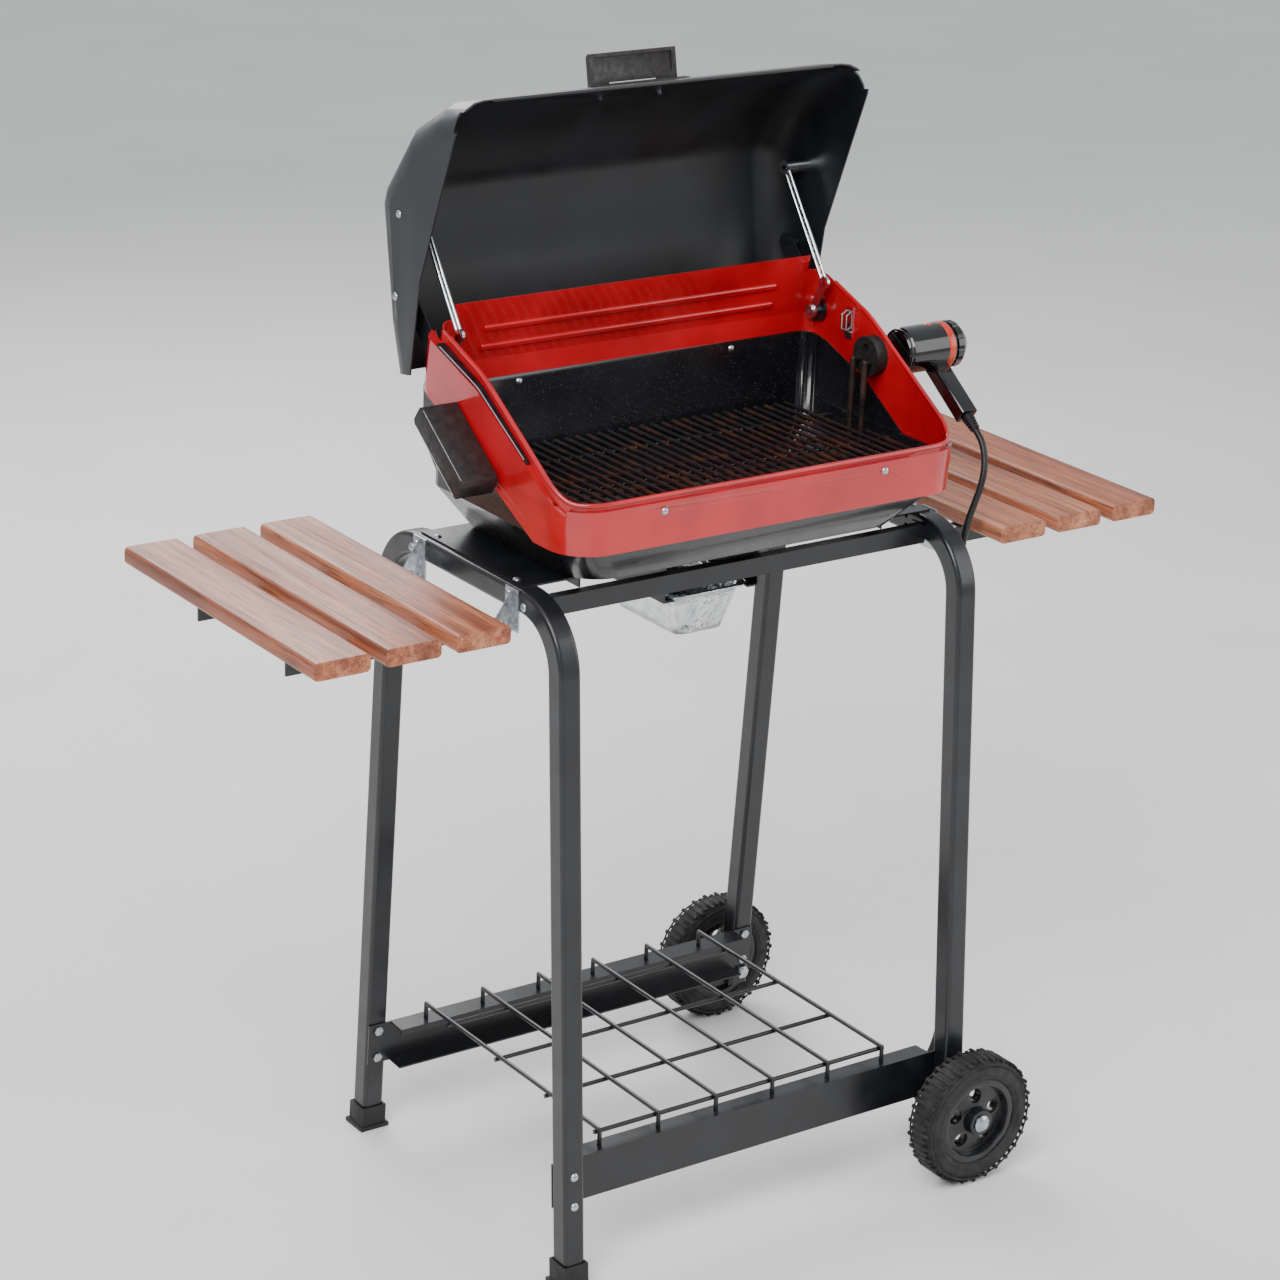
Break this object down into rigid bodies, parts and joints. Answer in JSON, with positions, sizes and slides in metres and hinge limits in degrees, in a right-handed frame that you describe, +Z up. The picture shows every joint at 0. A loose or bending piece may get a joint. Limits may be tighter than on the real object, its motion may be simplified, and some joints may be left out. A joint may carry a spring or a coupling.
{
  "type": "electric cart grill",
  "caption": "Electric grill with a hinged hood on a wheeled tube cart, with fold-down slatted side tables, a wire shelf and a plug-in heat controller.",
  "frame": {"origin": "on the floor, under the middle of the cart", "axes": "+X to the right of someone facing the grill's front, +Y to the back, +Z up"},
  "size_m": [1.0816, 0.5448, 1.2347],
  "materials": {
    "frame_paint": "satin black powder coat",
    "arm_paint": "satin black powder coat",
    "shelf_coat": "black coated wire",
    "foot_plastic": "matte black",
    "zinc": "bright zinc plate",
    "pan_enamel": "satin black enamel",
    "red_enamel": "glossy red enamel",
    "trim_steel": "dark steel with bright edges",
    "handle_phenolic": "black phenolic moulding",
    "reflector": "dull, heat stained",
    "element_sheath": "dark oxidised sheath",
    "ceramic_block": "dark moulded ceramic",
    "chrome": "polished",
    "controller_plastic": "glossy black",
    "lens_red": "clear red",
    "cord_rubber": "satin black sheath",
    "tyre_rubber": "moulded tread",
    "hub_plastic": "semi gloss black",
    "board_wood": "oiled red-brown hardwood",
    "hood_paint": "satin dark grey-black paint",
    "grid_enamel": "black porcelain enamel rod",
    "foil": "crinkled bright foil"
  },
  "bodies": {
    "cart": {"left_leg_frame": "frame_paint", "right_leg_frame": "frame_paint", "left_feet": "foot_plastic", "front_lower_rail": "frame_paint", "rear_lower_rail": "frame_paint", "front_upper_rail": "frame_paint", "rear_upper_rail": "frame_paint", "wire_shelf": "shelf_coat", "rail_screws": "zinc", "table_brackets": "zinc", "front_axle_bolt": "zinc", "rear_axle_bolt": "zinc", "body_supports": "frame_paint", "support_screws": "zinc", "lower_pan": "pan_enamel", "rear_cover": "pan_enamel", "bowl_casing": "red_enamel", "bowl_liner": "red_enamel", "bowl_screws": "zinc", "rim_trims": "trim_steel", "carry_handle": "handle_phenolic", "carry_handle_screws": "zinc", "hinge_pins": "zinc", "grid_rests": "pan_enamel", "reflector_pan": "reflector", "heating_element": "element_sheath", "terminal_block": "ceramic_block", "spit_clip": "chrome", "controller_housing": "controller_plastic", "pilot_lens": "lens_red", "controller_grip": "controller_plastic", "strain_relief": "cord_rubber", "power_cord": "cord_rubber", "cord_coil": "cord_rubber", "plug": "cord_rubber", "foil_pan_rails": "frame_paint"},
    "front_wheel": {"front_tyre": "tyre_rubber", "front_wheel_hub": "hub_plastic"},
    "rear_wheel": {"rear_tyre": "tyre_rubber", "rear_wheel_hub": "hub_plastic"},
    "left_table": {"left_inner_board": "board_wood", "left_middle_board": "board_wood", "left_outer_board": "board_wood", "left_table_arms": "arm_paint", "left_board_screws": "zinc"},
    "right_table": {"right_inner_board": "board_wood", "right_middle_board": "board_wood", "right_outer_board": "board_wood", "right_table_arms": "arm_paint", "right_board_screws": "zinc"},
    "hood_body": {"hood": "hood_paint", "hood_handle": "handle_phenolic", "hinge_plates": "hood_paint", "hood_stays": "chrome", "hood_screws": "zinc"},
    "control_dial": {"dial": "controller_plastic"},
    "grid": {"cooking_grid": "grid_enamel"},
    "drip_pan": {"foil_pan": "foil"}
  },
  "joints": [
    {"name": "hood_hinge", "type": "hinge", "parent": "cart", "child": "hood_body", "pos_m": [0, 0.09401, 0.93], "axis": [1, 0, 0], "range_deg": [0, 101]},
    {"name": "front_wheel_spin", "type": "hinge", "parent": "cart", "child": "front_wheel", "pos_m": [0.257, -0.24492, 0.076], "axis": [0, 1, 0], "continuous": true},
    {"name": "rear_wheel_spin", "type": "hinge", "parent": "cart", "child": "rear_wheel", "pos_m": [0.257, 0.24492, 0.076], "axis": [0, 1, 0], "continuous": true},
    {"name": "left_table_fold", "type": "hinge", "parent": "cart", "child": "left_table", "pos_m": [-0.2857, 0, 0.71], "axis": [0, -1, 0], "range_deg": [0, 90]},
    {"name": "right_table_fold", "type": "hinge", "parent": "cart", "child": "right_table", "pos_m": [0.2857, 0, 0.71], "axis": [0, 1, 0], "range_deg": [0, 90]},
    {"name": "dial_turn", "type": "hinge", "parent": "cart", "child": "control_dial", "pos_m": [0.3385, -0.026, 0.909], "axis": [1, 0, 0], "range_deg": [0, 270]},
    {"name": "grid_lift", "type": "slide", "parent": "cart", "child": "grid", "axis": [0, 0, 1], "range_m": [0, 0.05]},
    {"name": "drip_pan_slide", "type": "slide", "parent": "cart", "child": "drip_pan", "axis": [0, -1, 0], "range_m": [0, 0.14]}
  ]
}
